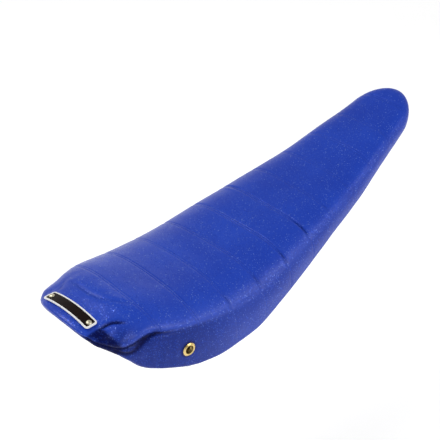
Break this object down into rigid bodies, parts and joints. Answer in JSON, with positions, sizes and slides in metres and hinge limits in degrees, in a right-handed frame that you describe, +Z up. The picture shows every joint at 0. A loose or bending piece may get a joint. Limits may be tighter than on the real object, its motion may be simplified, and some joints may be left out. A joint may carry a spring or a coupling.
{
  "type": "banana saddle",
  "caption": "Banana saddle for a bicycle: padded sparkle-vinyl cover on a deep steel pan, kicked-up tail with a badge, vent eyelets, rails with a tilting post clamp, rear strut carrier.",
  "frame": {"origin": "centre of the seat-post collar's bore", "axes": "+X to the nose, +Y to the rider's left, +Z up; the seat post leaves along -Z"},
  "size_m": [0.6, 0.191, 0.1311],
  "materials": {
    "vinyl_blue": "gloss",
    "foam": "matte",
    "pan_black": "satin",
    "clip_steel": "satin",
    "brass": "polished",
    "badge_rim": "polished",
    "badge_black": "gloss",
    "rivet_brass": "satin",
    "rail_chrome": "polished",
    "plate_black": "satin",
    "zinc": "satin",
    "fastener": "satin"
  },
  "bodies": {
    "post_collar": {"post_collar": "zinc"},
    "clamp_carrier": {"inner_cheek_left": "zinc", "inner_cheek_right": "zinc", "outer_cheek_left": "zinc", "outer_cheek_right": "zinc", "clamp_bolt": "fastener", "clamp_washers": "zinc", "clamp_nuts": "zinc"},
    "saddle": {"cover": "vinyl_blue", "foam_pad": "foam", "seat_pan": "pan_black", "hem_clips": "clip_steel", "vent_eyelet_left": "brass", "vent_eyelet_right": "brass", "eyelet_washer_left": "brass", "eyelet_washer_right": "brass", "badge_plate": "badge_rim", "badge_inlay": "badge_black", "badge_rivets": "rivet_brass", "rail_left": "rail_chrome", "rail_right": "rail_chrome", "rail_plate_front": "plate_black", "rail_plate_rear": "plate_black", "rail_plate_rivets": "fastener", "strut_plate": "zinc", "strut_ear_left": "zinc", "strut_ear_right": "zinc", "strut_plate_bolts": "fastener", "strut_plate_nuts": "fastener"}
  },
  "joints": [
    {"name": "tilt", "type": "hinge", "parent": "post_collar", "child": "clamp_carrier", "pos_m": [-0.032, 0, 0], "axis": [0, 1, 0], "range_deg": [-15, 15]},
    {"name": "fore_aft", "type": "slide", "parent": "clamp_carrier", "child": "saddle", "axis": [1, 0, 0], "range_m": [-0.03, 0.03]}
  ]
}
